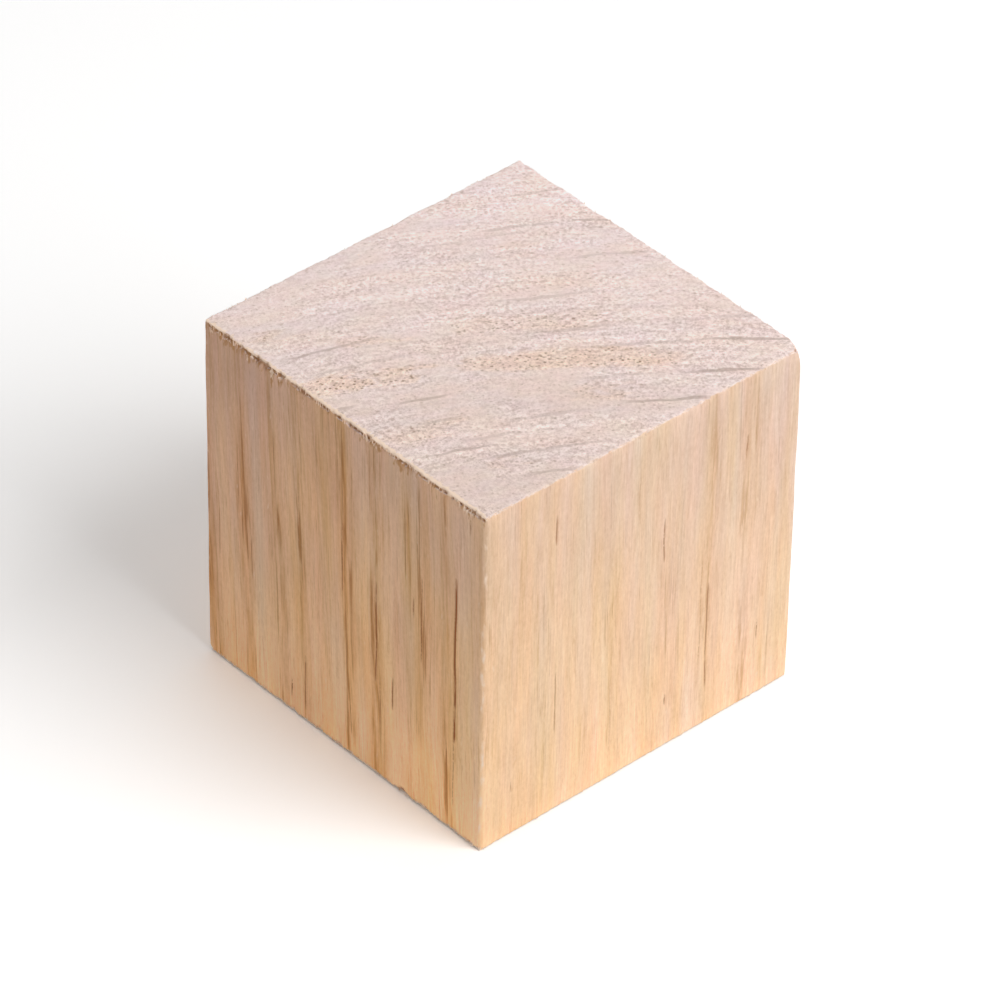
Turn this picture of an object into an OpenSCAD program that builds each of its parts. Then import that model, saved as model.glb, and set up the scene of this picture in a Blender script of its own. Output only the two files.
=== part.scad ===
// Plain cube of raw softwood, crosscut from a planed square strip.
// The grain runs up Z, so the top and the base are end grain.
// The origin is the middle of the base. The saw leaves the wood through the
// left face, so that is where fibres are torn out, along the top and the base.

/* [Strip] */
// Width of the planed strip, left to right
strip_width = 50; // [20:0.5:100]
// Depth of the planed strip, front to back
strip_depth = 50; // [20:0.5:100]
// Length sawn off the strip, along the grain
cut_length = 50; // [20:0.5:100]

/* [Edges] */
// Radius that planing and handling leave on the four long edges
long_edge_r = 0.6; // [0.2:0.05:1.5]
// Radius left on the eight sawn edges
sawn_edge_r = 0.25; // [0.1:0.05:1]

/* [Tear-out] */
// Depth of the deepest tear, in from the left face
tear_depth = 0.55; // [0.2:0.05:1.2]
// Length of the longest tear, along the grain
tear_length = 3; // [1:0.1:5]
// Width of the widest tear, along the sawn edge
tear_width = 3.4; // [1:0.1:5]
// Width of the bundles of fibres that break away together
bundle_width = 0.45; // [0.3:0.05:1.5]
// Width of a bundle at its tip, as a share of its width at the sawn edge
bundle_tip = 0.6; // [0.1:0.05:0.9]
// Pattern in which the bundles break
tear_seed = 11; // [1:1:99]

/* [Knocks] */
// How far the blunted top corner is worn back along each edge
blunt_corner = 1.5; // [0.6:0.1:3]
// How far the broken base corner is worn back along each edge
broken_corner = 1.2; // [0.6:0.1:3]
// Length of the dent in the top right edge
dent_length = 5; // [2:0.5:12]
// Depth of that dent at its middle
dent_depth = 0.35; // [0.1:0.05:0.8]
// Place of the dent's middle along that edge, as a share from the front
dent_place = 0.73; // [0.2:0.01:0.8]

/* [Hidden] */

$fn = 64;

// How far every cutter reaches past the wood
over = 1;

left_x = -strip_width / 2;
right_x = strip_width / 2;
front_y = -strip_depth / 2;
back_y = strip_depth / 2;

// Tears along a sawn edge, each as [place, width, length, depth]. The place is
// its middle, as a share of the strip's depth from the back. The rest are
// shares of the widest, longest and deepest tear.
TOP_TEARS = [
    [0.082, 0.55, 0.75, 0.75],
    [0.141, 0.50, 1.00, 0.55],
    [0.210, 0.90, 0.80, 1.00],
    [0.282, 0.35, 0.60, 0.85],
    [0.355, 1.00, 0.55, 0.60],
    [0.488, 0.35, 0.45, 0.60],
    [0.538, 0.80, 0.70, 0.65],
    [0.590, 0.30, 0.50, 0.90],
    [0.731, 0.45, 0.75, 0.75],
    [0.778, 0.70, 0.30, 0.35],
    [0.855, 0.27, 0.40, 0.65],
    [0.900, 0.80, 0.25, 0.30],
    [0.955, 0.80, 0.55, 0.80],
];
BASE_TEARS = [
    [0.165, 0.35, 0.45, 0.60],
    [0.272, 0.35, 0.40, 0.60],
    [0.318, 0.25, 0.55, 0.60],
    [0.420, 0.35, 0.35, 0.65],
    [0.493, 0.25, 0.50, 0.55],
    [0.530, 0.30, 0.35, 0.60],
    [0.620, 0.90, 0.25, 0.35],
    [0.720, 0.85, 0.50, 0.70],
    [0.800, 0.85, 0.45, 0.65],
    [0.900, 0.80, 0.30, 0.40],
];

// The least that a bundle reaches in length and depth, as a share of its tear
LEAST_BUNDLE = 0.45;
// Widths of the narrowest and the widest bundle, as shares of their spacing
BUNDLE_WIDTHS = [0.85, 1.6];
// Radius of the ball that a knocked corner is rounded to, for each millimetre
// that it is worn back
KNOCK_ROUNDNESS = 2.2;

// Rectangle with rounded corners, centred on the origin
module rounded_outline(across, along, r) {
    square([across - 2 * r, along], center = true);
    square([across, along - 2 * r], center = true);
    for (x = [-1, 1], y = [-1, 1]) {
        translate([x * (across / 2 - r), y * (along / 2 - r)]) circle(r);
    }
}

// The piece as sawn: eased long edges, and crisper edges round both ends
module sawn_block() {
    intersection() {
        linear_extrude(cut_length) rounded_outline(strip_width, strip_depth, long_edge_r);
        translate([0, back_y + over, cut_length / 2]) rotate([90, 0, 0])
            linear_extrude(strip_depth + 2 * over)
                rounded_outline(strip_width, cut_length, sawn_edge_r);
        translate([left_x - over, 0, cut_length / 2]) rotate([90, 0, 90])
            linear_extrude(strip_width + 2 * over)
                rounded_outline(strip_depth, cut_length, sawn_edge_r);
    }
}

// The hollow that one bundle leaves below a sawn edge at the origin, in a face
// whose outside is -X. Its outline narrows along the grain, and its floor
// slopes from its full depth at the edge up to the face at its tip.
module bundle_hollow(width, length, depth) {
    slope = atan(depth / length);
    reach = length + 2 * over;
    half_tip = width * bundle_tip / 2;
    half_mouth = half_tip + width * (1 - bundle_tip) / 2 * reach / length;
    translate([0, 0, -length]) rotate([0, slope, 0]) rotate([90, 0, -90])
        linear_extrude(over)
            polygon([
                [-half_tip, 0],
                [half_tip, 0],
                [half_mouth, reach],
                [-half_mouth, reach],
            ]);
}

// One tear: neighbouring bundles, each broken off at its own length and depth,
// and the longest and deepest of them near its middle
module tear(width, length, depth, seed) {
    count = max(1, round(width / bundle_width));
    spacing = width / count;
    lengths = rands(LEAST_BUNDLE, 1, count, seed);
    depths = rands(LEAST_BUNDLE, 1, count, seed + 0.5);
    widths = rands(BUNDLE_WIDTHS[0], BUNDLE_WIDTHS[1], count, seed + 0.25);
    for (i = [0 : count - 1]) {
        from_middle = (i + 0.5) / count - 0.5;
        rise = 1 - 2 * from_middle * from_middle;
        translate([0, from_middle * width, 0])
            bundle_hollow(
                spacing * widths[i],
                length * rise * lengths[i],
                depth * rise * depths[i]
            );
    }
}

// A row of tears down from the top of the left face
module torn_edge(tears, seed) {
    for (i = [0 : len(tears) - 1]) {
        place = tears[i][0];
        translate([left_x, back_y - place * strip_depth, cut_length])
            tear(
                tears[i][1] * tear_width,
                tears[i][2] * tear_length,
                tears[i][3] * tear_depth,
                seed + i
            );
    }
}

// What a knock takes off a corner at the origin, where the wood fills the
// negative octant: all that lies outside a ball that meets each edge at size
module corner_knock(size) {
    ball_r = KNOCK_ROUNDNESS * size;
    inward = (size + sqrt(3 * ball_r * ball_r - 2 * size * size)) / 3;
    difference() {
        cube(2 * size, center = true);
        translate([-inward, -inward, -inward]) sphere(ball_r);
    }
}

// Shallow dent in the top right edge, as a round bar laid across it would press
module edge_dent() {
    bar_r = (dent_length * dent_length / 4 + dent_depth * dent_depth) / (2 * dent_depth);
    translate([right_x, front_y + dent_place * strip_depth, cut_length]) rotate([0, 45, 0])
        translate([0, 0, bar_r - dent_depth]) rotate([0, 90, 0])
            cylinder(h = 4 * dent_length, r = bar_r, center = true);
}

module wood_cube() {
    color("burlywood") difference() {
        sawn_block();
        torn_edge(TOP_TEARS, tear_seed);
        translate([0, 0, cut_length]) mirror([0, 0, 1])
            torn_edge(BASE_TEARS, tear_seed + len(TOP_TEARS));
        translate([right_x, front_y, cut_length]) mirror([0, 1, 0])
            corner_knock(blunt_corner);
        translate([left_x, back_y, 0]) mirror([1, 0, 0]) mirror([0, 0, 1])
            corner_knock(broken_corner);
        edge_dent();
    }
}

wood_cube();
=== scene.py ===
"""A raw pine cube, dressed from its solid: torn and eased edges, resin canals and wood grain.

Lengths are in millimetres until a mesh is written, because most of the cube's features
are below a millimetre. The grain runs up Z, so the top and the base are end grain.
"""

import math
import random

import bpy
import numpy as np
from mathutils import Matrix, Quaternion, Vector, noise
from mathutils.bvhtree import BVHTree
from mathutils.geometry import delaunay_2d_cdt


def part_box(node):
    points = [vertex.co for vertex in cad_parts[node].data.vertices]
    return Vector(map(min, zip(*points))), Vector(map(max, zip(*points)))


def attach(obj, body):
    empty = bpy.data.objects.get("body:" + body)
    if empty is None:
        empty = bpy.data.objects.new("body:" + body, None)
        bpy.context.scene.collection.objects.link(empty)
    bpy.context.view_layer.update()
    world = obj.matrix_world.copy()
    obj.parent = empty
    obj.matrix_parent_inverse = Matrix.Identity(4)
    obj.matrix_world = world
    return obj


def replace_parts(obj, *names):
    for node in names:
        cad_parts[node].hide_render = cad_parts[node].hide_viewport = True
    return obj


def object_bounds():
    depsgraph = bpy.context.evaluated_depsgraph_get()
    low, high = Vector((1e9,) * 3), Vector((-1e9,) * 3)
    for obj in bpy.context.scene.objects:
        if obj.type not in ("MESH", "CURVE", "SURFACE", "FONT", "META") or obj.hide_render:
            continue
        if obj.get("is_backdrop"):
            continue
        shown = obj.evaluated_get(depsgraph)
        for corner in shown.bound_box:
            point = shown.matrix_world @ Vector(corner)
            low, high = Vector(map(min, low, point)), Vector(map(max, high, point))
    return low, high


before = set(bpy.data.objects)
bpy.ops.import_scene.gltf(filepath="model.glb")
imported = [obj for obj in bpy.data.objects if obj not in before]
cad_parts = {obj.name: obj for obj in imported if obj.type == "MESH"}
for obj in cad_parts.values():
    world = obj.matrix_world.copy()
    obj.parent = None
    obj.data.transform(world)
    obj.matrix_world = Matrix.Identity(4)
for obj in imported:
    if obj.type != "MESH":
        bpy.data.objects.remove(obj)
cad_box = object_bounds()

MM = 0.001
NODE = "wood_cube"
LOW, HIGH = (np.array(corner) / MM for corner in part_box(NODE))
MIDDLE = (LOW + HIGH) / 2
SIZE_Z = HIGH[2] - LOW[2]

# Radii of the solid's edges, to tell what is torn or knocked off from what is only eased
LONG_EDGE_R = 0.6
SAWN_EDGE_R = 0.25

# Mesh spacing: coarse on the open faces, fine along the sawn edges, finest where fibres are torn
FACE_STEP = 0.64
FACE_ROWS = (0.05, 0.11, 0.18, 0.27, 0.38, 0.52, 0.72, 1.0, 1.4, 1.9)
SAWN_STEP = 0.2
SAWN_ROWS = (0.06, 0.13, 0.21, 0.31, 0.44)
TORN_STEP = 0.14
TORN_ROWS_SIDE = tuple(np.cumsum([0.09] * 6 + [0.13] * 7 + [0.2] * 6))
TORN_ROWS_END = (0.07, 0.15, 0.24, 0.34, 0.46, 0.6, 0.75)
# Columns of points down a canal, as they lie where its half width is COLUMN_HALF
CANAL_COLUMNS = (-0.26, -0.13, 0.0, 0.13, 0.26)
COLUMN_HALF = 0.16
CANAL_STEP = 0.45
# Points nearer than this are merged, those that agree to this many parts of a millimetre
# are welded, and those nearer to a face than this lie on it
NEAREST = 0.035
WELD_PARTS = 1e4
ON_FACE = 1e-6
# Area, in square millimetres, under which a triangle is dropped
SLIVER = 1e-9
# Margin round each tile of the UV map, as a share of the tile
TILE_MARGIN = 0.012

# How far in the rays towards the solid aim, so that they meet a rounded edge squarely,
# how far out they start, how far they reach, and in how many steps they meet the eased block
RAY_INSET = 2.0
RAY_START = 1.0
RAY_REACH = 8.0
RAY_STEPS = 24

# Relief that handling, planing and sawing leave, as depths
RAGGED_DEPTH = 0.12
RAGGED_REACH = 0.32
WAVY_DEPTH = 0.12
WAVY_REACH = 0.5
# The base edges were sawn more cleanly: what is left of the waves and of the fraying there
WAVY_AT_BASE = 0.2
FRAYED_AT_BASE = 0.15
WORN_DEPTH = 0.09
WORN_REACH = 0.8
PLANED_DEPTH = 0.02
# The blunted top corner is worn a little rounder than the solid's
BLUNT_CORNER = (HIGH[0], LOW[1], HIGH[2])
BLUNT_DEPTH = 0.5
BLUNT_REACH = 1.7
# Groove broken out under the lip of a sawn edge, and how far down it reaches
PLUCKED_DEPTH = 0.22
PLUCKED_BAND = 0.42
# How much is plucked out along a torn edge, from the front to the back
PLUCKED_PLACES = (-25.0, -20.0, -6.0, -3.5, 2.0, 25.0)
PLUCKED_SHARES = (0.75, 0.55, 0.5, 0.85, 0.55, 0.6)
# The same along every other sawn edge, and how deep there
NICKED_SHARE = -0.1
NICKED_DEPTH = 0.45
# How frayed the fibres below a torn edge are, from the front to the back, and how far down
FRAYED_PLACES = (-25.0, -22.0, -18.0, -12.0, -8.0, -5.0, -2.0, 3.0, 8.0, 12.0, 16.0, 20.0, 25.0)
FRAYED_SHARES = (0.3, 0.7, 0.1, 0.6, 0.2, 0.8, 0.2, 0.15, 0.4, 0.85, 0.5, 0.85, 0.55)
FRAYED_BAND = 2.9
# How pale its lip is rubbed and lit by a painted highlight, from the front to the back, and how far
# in
LIP_PLACES = (-25.0, -3.0, 2.0, 25.0)
LIP_SHARES = (1.7, 1.7, 1.2, 1.0)
LIP_REACH = 0.6
# The same for the other sawn edges, and for the long edges
RUBBED_AND_LIT_SHARE, RUBBED_AND_LIT_REACH = 0.3, 0.26
LONG_RUBBED_AND_LIT_SHARE, LONG_RUBBED_AND_LIT_REACH = 0.35, 0.6

# Growth rings: where the stem's middle lies at the top, how it leans with height, and
# the outer radius of each ring
PITH_X, PITH_Y = -85.0, -130.0
PITH_LEAN_X, PITH_LEAN_Y = -0.095, 0.08
# Length along a ring for each radian round the stem, about where the block lies
ARC_PER_RADIAN = 150.0
# Angle round the stem at which the front left edge stands at the base, its fall for each
# millimetre up, and how far to each side of it the looks of the two faces blend
CORNER_ANGLE, CORNER_TURN = 1.102, 0.00098
CORNER_BLEND = (-0.012, 0.018)
RING_RADII = (
    115.5, 121.8, 127.0, 130.7, 132.3, 138.2, 143.0, 146.4,
    150.5, 154.6, 160.2, 167.0, 173.8, 180.8, 188.0, 195.5,
)
# How much wider the rings are towards the left and back
WIDER_LEFT = 1.0
# How dark each ring's late wood is, to the left and back, and to the front and right
LATE_LEFT = (0.5, 0.75, 0.65, 0.5, 0.75, 1.0, 0.75, 0.25, 0.85, 0.6, 0.65, 0.75, 0.6, 0.8, 0.6, 0.6)
LATE_FRONT = (0.3, 0.45, 0.7, 0.15, 0.45, 0.4, 0.55, 0.85, 0.3, 0.45, 0.4, 0.6, 0.5, 0.4, 0.6, 0.5)
# Thin dark lines along the rings on the end grain: radius, first and last degree round
# the stem, and how dark each is
END_LINES = (
    (182.9, 52.0, 56.0, 0.6), (176.6, 50.8, 53.4, 0.8), (176.0, 53.2, 57.2, 0.6),
    (174.2, 54.2, 60.3, 0.35), (169.6, 49.2, 54.1, 0.5), (162.0, 52.2, 57.0, 0.5),
    (157.6, 45.2, 48.0, 0.5), (156.0, 61.5, 67.1, 0.8), (155.2, 51.7, 56.3, 0.5),
    (153.4, 42.8, 48.7, 1.0), (152.0, 47.5, 54.3, 0.5), (152.1, 60.2, 66.8, 0.45),
    (147.1, 44.7, 49.5, 1.0), (146.0, 49.5, 54.3, 0.45), (144.6, 64.2, 66.3, 0.7),
    (144.4, 59.6, 62.9, 0.8), (141.5, 47.0, 52.5, 0.9), (139.8, 59.6, 62.4, 0.6),
    (138.8, 53.4, 58.7, 0.5), (136.0, 56.7, 60.3, 0.5), (133.9, 58.5, 62.7, 0.8),
    (132.8, 52.4, 60.2, 0.65), (131.5, 60.7, 62.8, 0.5), (128.8, 53.8, 58.0, 0.7),
)
# Half their width, and how far they cross the rings outward for each millimetre along them
END_LINE_HALF = 0.33
END_LINE_SLANT = 0.1
# Stretches of the rings crowded with small brown dots on the end grain: radius, first and
# last degree, half width, and how crowded each is
END_DOTS = (
    (149.5, 48.0, 59.4, 2.4, 1.0), (150.1, 57.6, 59.2, 1.8, 0.5), (149.1, 60.8, 63.6, 2.1, 0.9),
    (149.2, 63.2, 66.4, 2.3, 1.2), (157.3, 51.2, 59.2, 2.3, 0.55), (156.4, 61.0, 64.4, 1.1, 0.5),
    (143.2, 51.6, 54.4, 2.4, 0.4), (138.4, 59.6, 64.2, 2.2, 0.4), (130.9, 57.2, 59.2, 1.2, 0.45),
    (171.0, 54.0, 57.0, 1.9, 0.3), (164.8, 51.0, 57.0, 2.1, 0.3), (160.5, 65.5, 67.8, 1.6, 0.5),
)

# Resin canals laid open on the two faces in view: place across the face from its left
# edge, lower end, upper end, half width and how full of dark resin it is
LEFT_CANALS = (
    (45.1, 13.5, 38.5, 0.2, 1.0), (45.1, 3.0, 14.0, 0.14, 0.5), (31.2, 14.0, 29.5, 0.15, 0.8),
    (31.9, 7.5, 15.5, 0.12, 0.45), (34.2, 11.5, 17.0, 0.15, 0.8), (25.1, 24.0, 35.5, 0.13, 0.55),
    (25.8, 13.0, 22.5, 0.1, 0.35), (18.4, 1.5, 10.5, 0.13, 0.7), (15.8, 2.0, 5.2, 0.13, 0.8),
    (2.5, 16.0, 23.5, 0.11, 0.5), (8.6, 15.5, 22.8, 0.11, 0.5), (17.2, 27.5, 36.5, 0.1, 0.4),
    (37.8, 28.0, 31.2, 0.13, 0.7), (39.2, 22.0, 35.0, 0.12, 0.6), (43.8, 3.0, 12.5, 0.1, 0.45),
    (47.5, 46.0, 48.6, 0.12, 0.7), (29.9, 38.5, 49.0, 0.1, 0.35), (24.3, 38.0, 49.2, 0.1, 0.3),
)
FRONT_CANALS = (
    (11.1, 40.2, 45.0, 0.15, 0.8), (11.5, 12.0, 21.5, 0.12, 0.65), (28.4, 28.5, 35.5, 0.13, 0.8),
    (35.9, 5.5, 22.0, 0.15, 0.8), (34.8, 9.0, 26.0, 0.1, 0.5), (41.4, 37.5, 41.5, 0.13, 0.9),
    (29.4, 6.2, 8.3, 0.16, 1.0), (4.7, 6.3, 8.5, 0.13, 0.7), (44.3, 8.5, 12.0, 0.13, 0.7),
    (24.2, 36.0, 47.0, 0.1, 0.35), (20.4, 4.0, 16.0, 0.1, 0.35), (20.9, 20.0, 31.0, 0.09, 0.3),
)
# On each face out of view: how many, shortest and longest, the heights they keep between,
# how near an edge they come, half widths and fills
CANAL_SEED = 4
HIDDEN_CANALS = 13
HIDDEN_LENGTHS = (2.0, 7.0)
HIDDEN_HEIGHTS = (0.6, 49.4)
HIDDEN_MARGIN = 1.5
HIDDEN_HALVES, HIDDEN_FILLS = (0.1, 0.16), (0.25, 0.9)
# How deep a full canal lies open, how far its middle wanders, and over what length it
# tapers at each end
CANAL_DEPTH = 0.11
CANAL_WANDER = 0.16
CANAL_TAPER = 1.2

# Splinters left standing along the sawn edges: (axis of the side, is high, at the top,
# how many, longest)
SPLINTER_ROWS = (
    (0, False, True, 150, 0.7), (0, False, False, 110, 0.7), (0, True, True, 24, 0.5),
    (0, True, False, 24, 0.5), (1, False, True, 20, 0.4), (1, False, False, 26, 0.5),
    (1, True, True, 30, 0.6), (1, True, False, 30, 0.6),
)
SPLINTER_SEED = 23
# How far along an edge they stand from its middle, their widths, how far a tip leans and
# bows, and how far short of the top or the base it ends
SPLINTER_REACH = 24.4
SPLINTER_WIDTHS = (0.05, 0.13)
SPLINTER_LEAN, SPLINTER_BOW = 0.06, 0.07
TOP_GAPS, BASE_GAPS = (0.01, 0.08), (0.02, 0.1)
# The stoutest tuft, on the torn top edge: place across from the front, splinters in it,
# how far they spread, their lengths and their widths
TUFT_PLACE, TUFT_COUNT = 20.5, 9
TUFT_SPREAD = 0.32
TUFT_LENGTHS, TUFT_WIDTHS = (0.5, 0.9), (0.12, 0.24)
# Shares of a splinter's length at which it has a ring of corners, half its thickness at
# the root, and how far its root is sunk
SPLINTER_RINGS = (0.0, 0.35, 0.7, 1.0)
SPLINTER_HALF = 0.03
ROOT_SINK = 0.02
# No splinter stands on a place deeper than this below the sharp face
DEEPEST_ROOT = 0.22

# Wood colours, as linear albedo
EARLY_WOOD = (0.935, 0.679, 0.492, 1)
LATE_WOOD = (0.64, 0.365, 0.165, 1)
BROWN_STREAK = (0.42, 0.2, 0.07, 1)
RESIN = (0.3, 0.085, 0.01, 1)
END_GRAIN = (0.885, 0.725, 0.67, 1)
END_LATE = (0.77, 0.61, 0.565, 1)
END_LINE = (0.45, 0.32, 0.27, 1)
END_ORANGE = (0.88, 0.62, 0.44, 1)
END_BROWN = (0.38, 0.24, 0.15, 1)
PALE_FIBRE = (1.0, 0.787, 0.625, 1)
# Torn fibres in the gaps under the edges, dark partly of their own and partly as painted shade
TORN_FIBRE_AND_SHADE = (0.34, 0.14, 0.05, 1)
FRAYED_BROWN = (0.53, 0.27, 0.11, 1)
# Factors between which the wood's hue wanders, cool first: in patches, from streak to
# streak, from the left face's top at the back to its base at the front, and on the end grain.
# On the left and back faces that pair is partly their own deeper tone, partly painted light:
# lighter and warmer towards the base at the front.
PATCH_HUES = (0.96, 0.985, 1.05, 1), (1.04, 1.01, 0.95, 1)
STREAK_HUES = (0.983, 0.983, 1.024, 1), (1.024, 0.999, 0.961, 1)
LEFT_HUES = (0.938, 0.861, 0.817, 1), (1.08, 1.01, 0.899, 1)
END_HUES = (1.018, 1.024, 1.055, 1), (1.052, 1.031, 1.0, 1)
# How a patch of pinker wood differs in red, green and blue
PINKER = (0.07, -0.09, 0.03)

# How red, green and blue change for each millimetre along X, Y and Z, and their level at
# the base's middle. On the long grain this is painted light: brighter and warmer towards
# the base, as light bounced up from below would make it.
COLOUR_DRIFT = (
    ((0.0002, -0.0017, -0.0047), 1.118),
    ((0.0011, -0.0021, -0.0034), 1.085),
    ((0.0039, -0.0012, 0.0009), 0.983),
)
# How red, green and blue change on the end grain, and their level at the face's middle
END_DRIFT = (
    ((0.0015, 0.0015, 0.0), 1.02),
    ((0.0017, 0.0018, 0.0), 1.023),
    ((0.0022, 0.0024, 0.0), 1.03),
)

# How dark the wood is through one growth ring, from the inside out
RING_PROFILE = (
    (0.0, 0.35), (0.05, 0.12), (0.14, 0.0), (0.5, 0.05),
    (0.64, 0.25), (0.77, 0.62), (0.89, 0.95), (1.0, 0.75),
)
SPECULAR = 0.3  # unfinished wood hardly shines

# Lamps: name, direction from the cube, distance and side in metres, level at which a
# surface that faces it is lit, where 1 shows a colour as it is written, and colour
LAMPS = (
    ("key", (0.25, -0.8, 0.85), 0.9, 0.6, 0.71, (1, 1, 1)),
    ("top", (0.1, 0.35, 1.0), 0.9, 0.7, 0.16, (1, 1, 1)),
    ("fill", (-1.0, 0.1, 0.25), 1.2, 0.8, 0.11, (1.0, 0.9, 0.78)),
)
SKY_LEVEL = 0.3
# The floor's white as light from it reaches the cube, and as it is seen
FLOOR_LEVELS = (0.8, 1.25)
# In metres: the floor's radius, how far it lies below the base, and how far from the cube
# it starts and ends its fade to plain white
FLOOR_RADIUS, FLOOR_DROP = 3, 0.0001
FLOOR_FADE = (0.12, 0.4)
FLOOR_SIDES = 96

CENTRE = Vector(MIDDLE * MM)
CAMERA_AZIMUTH, CAMERA_ELEVATION, CAMERA_ROLL = -42.4, 38.3, 1.06
CAMERA_DISTANCE = 0.804
CAMERA_LENS = 242.0
SENSOR_WIDTH = 36.0


def smooth_step(value, low, high):
    """0 below low, 1 above high, and a smooth rise between them."""
    share = np.clip((value - low) / (high - low), 0.0, 1.0)
    return share * share * (3 - 2 * share)


def graded_lines(low, high):
    """Coordinates from low to high, close together near both ends."""
    rows = np.array(FACE_ROWS)
    start, end = low + rows[-1], high - rows[-1]
    inner = np.linspace(start, end, round((end - start) / FACE_STEP) + 1)
    return np.concatenate(([low], low + rows[:-1], inner, high - rows[-2::-1], [high]))


def edge_step(along, side_a, side_b):
    """Spacing along an edge: the axis it runs along, and the (axis, is high) of its two faces."""
    if along == 2:
        return None
    if along == 1 and (0, False) in (side_a, side_b):
        return TORN_STEP
    return SAWN_STEP


def edge_points(along, step):
    """Coordinates of the points on an edge, the same for both faces that share it."""
    lines = graded_lines(LOW[along], HIGH[along])
    if step is None:
        return lines
    fine = np.linspace(LOW[along], HIGH[along], round((HIGH - LOW)[along] / step) + 1)
    gap = np.abs(fine[:, None] - lines[None, :]).min(1)
    return np.sort(np.concatenate((lines, fine[gap > NEAREST])))


def band_rows(face_axis, step):
    """How far in from an edge its fine rows lie, on the face across face_axis."""
    if step is None:
        return ()
    if step == SAWN_STEP:
        return SAWN_ROWS
    return TORN_ROWS_END if face_axis == 2 else TORN_ROWS_SIDE


def canals():
    """Each canal as (axis of its face, is high, across, lower end, upper end, half width, fill)."""
    dice = random.Random(CANAL_SEED)
    found = [(0, False, HIGH[1] - across, *rest) for across, *rest in LEFT_CANALS]
    found += [(1, False, LOW[0] + across, *rest) for across, *rest in FRONT_CANALS]
    for axis in (0, 1):
        for _ in range(HIDDEN_CANALS):
            length = dice.uniform(*HIDDEN_LENGTHS) * dice.choice((1, 1, 2.4))
            bottom = dice.uniform(HIDDEN_HEIGHTS[0], HIDDEN_HEIGHTS[1] - length)
            across = dice.uniform(LOW[1 - axis] + HIDDEN_MARGIN, HIGH[1 - axis] - HIDDEN_MARGIN)
            half, fill = dice.uniform(*HIDDEN_HALVES), dice.uniform(*HIDDEN_FILLS)
            found.append((axis, True, across, bottom, bottom + length, half, fill))
    return found


def canal_middle(across, z):
    """A canal follows the fibres, which lean a little and wander."""
    wander = noise.noise(Vector((across * 3.1, 0.0, z * 0.22)))
    return across + CANAL_WANDER * wander


def edge_rows(axis, high):
    """For each edge of a face, the row of points on it and the fine rows beside it."""
    u, v = (axis + 1) % 3, (axis + 2) % 3
    for along, across in ((u, v), (v, u)):
        for far in (False, True):
            step = edge_step(along, (axis, high), (across, far))
            points = edge_points(along, step)
            edge, inward = (HIGH[across], -1.0) if far else (LOW[across], 1.0)
            rows = [np.c_[points, np.full(len(points), edge)]]
            for depth in band_rows(axis, step):
                rows.append(np.c_[points[1:-1], np.full(len(points) - 2, edge + inward * depth)])
            yield rows if along == u else [row[:, ::-1] for row in rows]


def canal_rows(axis, high, all_canals):
    """Rows of points down each canal on a face."""
    for canal_axis, canal_high, across, bottom, top, half, _ in all_canals:
        if (canal_axis, canal_high) != (axis, high):
            continue
        heights = np.arange(bottom - CANAL_STEP, top + 2 * CANAL_STEP, CANAL_STEP)
        heights = heights[(heights > LOW[2] + 0.1) & (heights < HIGH[2] - 0.1)]
        for column in CANAL_COLUMNS:
            places = [canal_middle(across, z) + column * half / COLUMN_HALF for z in heights]
            row = np.c_[places, heights]
            yield row if axis == 0 else row[:, ::-1]


def face_points(axis, high, all_canals):
    """Points of one face of the sharp box, in its own two coordinates."""
    both = [(axis + 1) % 3, (axis + 2) % 3]
    grid = np.meshgrid(*(graded_lines(LOW[i], HIGH[i])[1:-1] for i in both))
    inner, boundary = [np.c_[grid[0].ravel(), grid[1].ravel()]], []
    for edge, *beside in edge_rows(axis, high):
        boundary.append(edge)
        inner += beside
    inner = np.vstack([*inner, *canal_rows(axis, high, all_canals)])
    room = np.minimum(inner - LOW[both], HIGH[both] - inner).min(1)
    inner = inner[room > NEAREST]
    _, kept = np.unique(np.round(inner / NEAREST).astype(int), axis=0, return_index=True)
    return np.vstack((np.unique(np.vstack(boundary), axis=0), inner[np.sort(kept)]))


def sharp_box(all_canals):
    """The sharp box as (points, triangles, face of each triangle), closed and welded."""
    points, triangles, faces = [], [], []
    count = 0
    for face in range(6):
        axis, high = divmod(face, 2)
        flat = [Vector(p) for p in face_points(axis, high, all_canals)]
        spots, _, parts = delaunay_2d_cdt(flat, [], [], 0, 1e-7, False)[:3]
        spots = np.array([tuple(s) for s in spots])
        parts = np.array([p for p in parts if len(p) == 3])
        a, b, c = (spots[parts[:, i]] for i in range(3))
        (ab_u, ab_v), (ac_u, ac_v) = (b - a).T, (c - a).T
        area = ab_u * ac_v - ab_v * ac_u
        parts, area = parts[np.abs(area) > SLIVER], area[np.abs(area) > SLIVER]
        turned = (area < 0) != (not high)
        parts[turned] = parts[turned][:, ::-1]
        solid = np.full((len(spots), 3), (HIGH if high else LOW)[axis])
        solid[:, [(axis + 1) % 3, (axis + 2) % 3]] = spots
        points.append(solid)
        triangles.append(parts + count)
        faces.append(np.full(len(parts), face))
        count += len(spots)
    points, triangles, faces = np.vstack(points), np.vstack(triangles), np.concatenate(faces)
    rounded = np.round(points * WELD_PARTS).astype(np.int64)
    _, first, where = np.unique(rounded, axis=0, return_index=True, return_inverse=True)
    return points[first], where.ravel()[triangles], faces


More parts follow.
